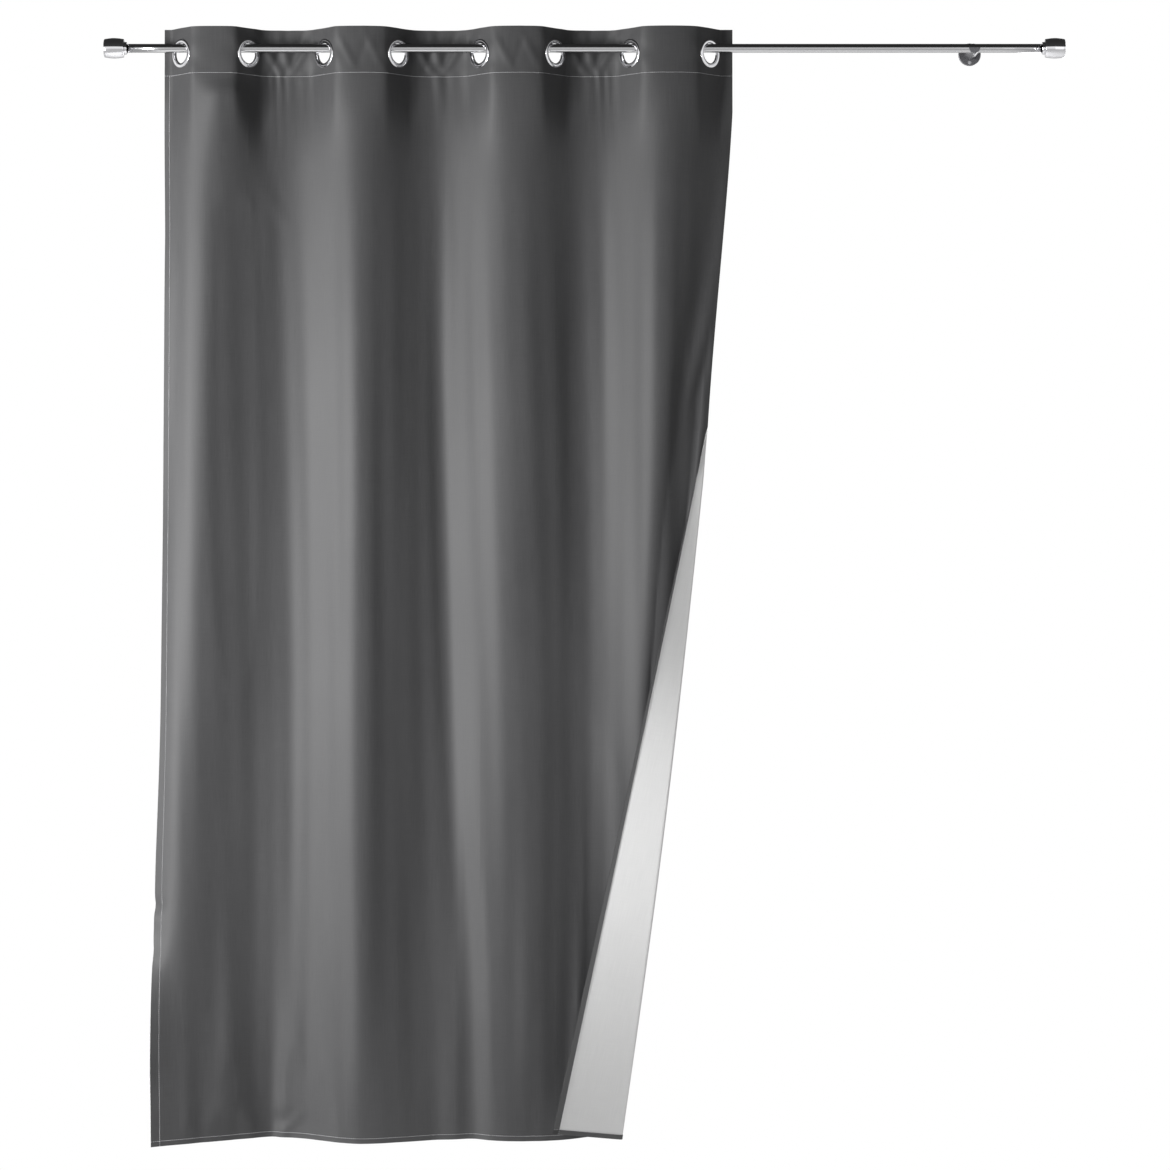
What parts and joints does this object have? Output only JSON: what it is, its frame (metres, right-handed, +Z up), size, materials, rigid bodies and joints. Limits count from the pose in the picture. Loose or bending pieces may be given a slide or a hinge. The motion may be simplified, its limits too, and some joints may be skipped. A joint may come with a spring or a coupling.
{
  "type": "eyelet curtain panel",
  "caption": "Dark lined eyelet curtain panel in upright folds on a round rod with end caps and wall brackets, lower corner turned over to show the pale lining.",
  "frame": {"origin": "centre of the left wall plate's back face", "axes": "+X along the rod to the right, +Y into the wall, +Z up"},
  "size_m": [2.0706, 0.168, 2.4],
  "materials": {
    "face_cloth": "satin weave",
    "lining_cloth": "matt, fine plain weave",
    "heading_tape": "stiff woven tape",
    "chrome": "polished",
    "rod_steel": "satin chrome",
    "gunmetal": "satin gunmetal",
    "screw_steel": "zinc plated"
  },
  "bodies": {
    "rail": {"rod_tube": "rod_steel", "end_cap_left": "chrome", "end_cap_right": "chrome", "wall_plate_left": "gunmetal", "wall_plate_right": "gunmetal", "bracket_post_left": "gunmetal", "bracket_post_right": "gunmetal", "rod_lock_screw_left": "screw_steel", "rod_lock_screw_right": "screw_steel", "wall_screw_left_high": "screw_steel", "wall_screw_left_low": "screw_steel", "wall_screw_right_high": "screw_steel", "wall_screw_right_low": "screw_steel"},
    "fold_1": {"face_fold_1": "face_cloth", "lining_fold_1": "lining_cloth", "heading_tape_1": "heading_tape", "eyelet_ring_1": "chrome", "eyelet_washer_1": "chrome"},
    "fold_2": {"face_fold_2": "face_cloth", "lining_fold_2": "lining_cloth", "heading_tape_2": "heading_tape", "eyelet_ring_2": "chrome", "eyelet_washer_2": "chrome"},
    "fold_3": {"face_fold_3": "face_cloth", "lining_fold_3": "lining_cloth", "heading_tape_3": "heading_tape", "eyelet_ring_3": "chrome", "eyelet_washer_3": "chrome"},
    "fold_4": {"face_fold_4": "face_cloth", "lining_fold_4": "lining_cloth", "heading_tape_4": "heading_tape", "eyelet_ring_4": "chrome", "eyelet_washer_4": "chrome"},
    "fold_5": {"face_fold_5": "face_cloth", "lining_fold_5": "lining_cloth", "heading_tape_5": "heading_tape", "eyelet_ring_5": "chrome", "eyelet_washer_5": "chrome"},
    "fold_6": {"face_fold_6": "face_cloth", "lining_fold_6": "lining_cloth", "heading_tape_6": "heading_tape", "eyelet_ring_6": "chrome", "eyelet_washer_6": "chrome"},
    "fold_7": {"face_fold_7": "face_cloth", "lining_fold_7": "lining_cloth", "heading_tape_7": "heading_tape", "eyelet_ring_7": "chrome", "eyelet_washer_7": "chrome", "turned_face_middle": "face_cloth", "turned_lining_middle": "lining_cloth"},
    "fold_8": {"face_fold_8": "face_cloth", "lining_fold_8": "lining_cloth", "heading_tape_8": "heading_tape", "eyelet_ring_8": "chrome", "eyelet_washer_8": "chrome", "turned_face_upper": "face_cloth", "turned_lining_upper": "lining_cloth"},
    "turned_corner": {"turned_face_tip": "face_cloth", "turned_lining_tip": "lining_cloth"}
  },
  "joints": [
    {"name": "gather", "type": "hinge", "parent": "rail", "child": "fold_1", "pos_m": [-0.045, -0.095, 0], "axis": [0, 0, -1], "range_deg": [0, 36]},
    {"name": "crest_1_bend", "type": "hinge", "parent": "fold_1", "child": "fold_2", "pos_m": [0.027, -0.12442, 0], "axis": [0, 0, 1], "range_deg": [0, 72]},
    {"name": "crest_2_bend", "type": "hinge", "parent": "fold_2", "child": "fold_3", "pos_m": [0.181, -0.06153, 0], "axis": [0, 0, -1], "range_deg": [0, 72]},
    {"name": "crest_3_bend", "type": "hinge", "parent": "fold_3", "child": "fold_4", "pos_m": [0.3425, -0.12761, 0], "axis": [0, 0, 1], "range_deg": [0, 72]},
    {"name": "crest_4_bend", "type": "hinge", "parent": "fold_4", "child": "fold_5", "pos_m": [0.51, -0.05899, 0], "axis": [0, 0, -1], "range_deg": [0, 72]},
    {"name": "crest_5_bend", "type": "hinge", "parent": "fold_5", "child": "fold_6", "pos_m": [0.679, -0.12824, 0], "axis": [0, 0, 1], "range_deg": [0, 72]},
    {"name": "crest_6_bend", "type": "hinge", "parent": "fold_6", "child": "fold_7", "pos_m": [0.841, -0.06196, 0], "axis": [0, 0, -1], "range_deg": [0, 72]},
    {"name": "crest_7_bend", "type": "hinge", "parent": "fold_7", "child": "fold_8", "pos_m": [1.008, -0.13037, 0], "axis": [0, 0, 1], "range_deg": [0, 72]},
    {"name": "corner_bend", "type": "hinge", "parent": "fold_7", "child": "turned_corner", "pos_m": [0.86, -0.09317, -2.34864], "axis": [0, -0.126, 0.992], "range_deg": [0, 93.6]}
  ],
  "couplings": [
    {"joint": "crest_1_bend", "follows": "gather", "ratio": 2},
    {"joint": "crest_2_bend", "follows": "gather", "ratio": 2},
    {"joint": "crest_3_bend", "follows": "gather", "ratio": 2},
    {"joint": "crest_4_bend", "follows": "gather", "ratio": 2},
    {"joint": "crest_5_bend", "follows": "gather", "ratio": 2},
    {"joint": "crest_6_bend", "follows": "gather", "ratio": 2},
    {"joint": "crest_7_bend", "follows": "gather", "ratio": 2},
    {"joint": "corner_bend", "follows": "gather", "ratio": 2.6}
  ]
}
